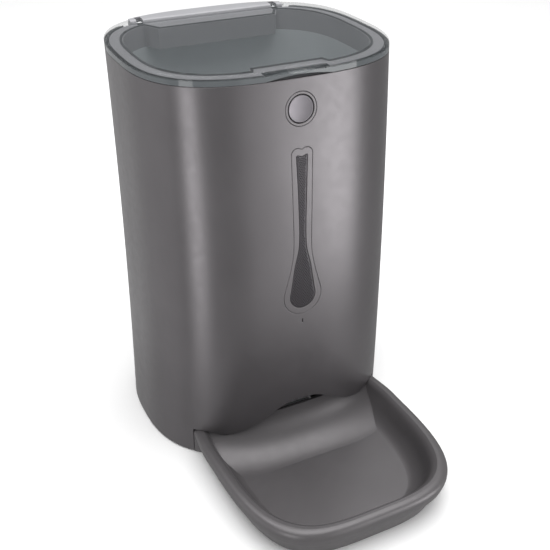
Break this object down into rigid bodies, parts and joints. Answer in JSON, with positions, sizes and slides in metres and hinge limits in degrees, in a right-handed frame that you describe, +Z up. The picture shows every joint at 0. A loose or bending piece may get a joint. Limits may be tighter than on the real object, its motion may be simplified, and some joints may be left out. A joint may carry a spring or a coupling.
{
  "type": "automatic pet feeder",
  "caption": "Tall grey automatic dry-food feeder with a smoke lid, a front button, a spoon-shaped grille inlay and a pull-out bowl tray.",
  "frame": {"origin": "on the table, under the middle of the whole object's box", "axes": "+Z up, the front and the tray face -Y, +X is the left-right axis"},
  "size_m": [0.208, 0.3078, 0.31],
  "materials": {
    "casing_grey": "satin metallic warm grey moulded plastic",
    "tray_grey": "satin warm grey moulded plastic",
    "lid_smoke": "smoke tinted translucent plastic, polished",
    "seal_dark": "matt silicone",
    "collar_grey": "fine satin moulded plastic",
    "hopper_grey": "smooth food-safe plastic",
    "button_grey": "satin metallic",
    "grille_dark": "fine perforated mesh look",
    "inner_plastic": "plain moulded plastic",
    "rotor_soft": "soft silicone",
    "gear_white": "acetal",
    "steel": "turned steel",
    "spring_steel": "nickel-plated",
    "motor_can": "zinc-plated can",
    "board_green": "solder mask",
    "chip_black": "moulded packages",
    "rubber_black": "matt rubber"
  },
  "bodies": {
    "housing": {"outer_housing": "casing_grey", "top_collar": "collar_grey", "lid_hinge_pins": "steel", "button_ring": "casing_grey", "button_board": "board_green", "tact_switch": "chip_black", "front_inlay": "casing_grey", "speaker_grille": "grille_dark", "speaker_gasket": "rubber_black", "speaker": "inner_plastic", "microphone": "chip_black", "hopper": "hopper_grey", "rotor_housing": "inner_plastic", "shaft_bushes": "gear_white", "gearbox": "inner_plastic", "motor": "motor_can", "motor_screws": "steel", "chute": "inner_plastic", "level_sensors": "chip_black", "base_plate": "inner_plastic", "rubber_feet": "rubber_black", "base_screws": "steel", "battery_door_pin": "steel", "battery_contacts": "spring_steel", "main_board": "board_green", "board_parts": "chip_black", "board_screws": "steel", "dc_jack": "chip_black"},
    "lid": {"lid": "lid_smoke", "lid_seal": "seal_dark"},
    "tray": {"food_tray": "tray_grey"},
    "button": {"feed_button": "button_grey"},
    "portioner": {"rotor": "rotor_soft", "rotor_shaft": "steel", "rotor_gear": "gear_white"},
    "drive": {"drive_pinion": "gear_white", "output_shaft": "steel"},
    "battery_cover": {"battery_door": "inner_plastic"}
  },
  "joints": [
    {"name": "lid_hinge", "type": "hinge", "parent": "housing", "child": "lid", "pos_m": [0, 0.1405, 0.3062], "axis": [-1, 0, 0], "range_deg": [0, 95]},
    {"name": "tray_slide", "type": "slide", "parent": "housing", "child": "tray", "axis": [0, -1, 0], "range_m": [0, 0.13]},
    {"name": "button_press", "type": "slide", "parent": "housing", "child": "button", "axis": [0, 0.9945, -0.1049], "range_m": [0, 0.0009], "stiffness_N_per_m": 500, "springref_m": -0.001},
    {"name": "portioner_spin", "type": "hinge", "parent": "housing", "child": "portioner", "pos_m": [0, 0.036, 0.11], "axis": [1, 0, 0], "continuous": true},
    {"name": "pinion_spin", "type": "hinge", "parent": "housing", "child": "drive", "pos_m": [0.04, 0.06198, 0.095], "axis": [1, 0, 0], "continuous": true},
    {"name": "battery_door_hinge", "type": "hinge", "parent": "housing", "child": "battery_cover", "pos_m": [0, 0.0572, 0.0036], "axis": [-1, 0, 0], "range_deg": [0, 95]}
  ],
  "couplings": [
    {"joint": "pinion_spin", "follows": "portioner_spin", "ratio": -3}
  ]
}
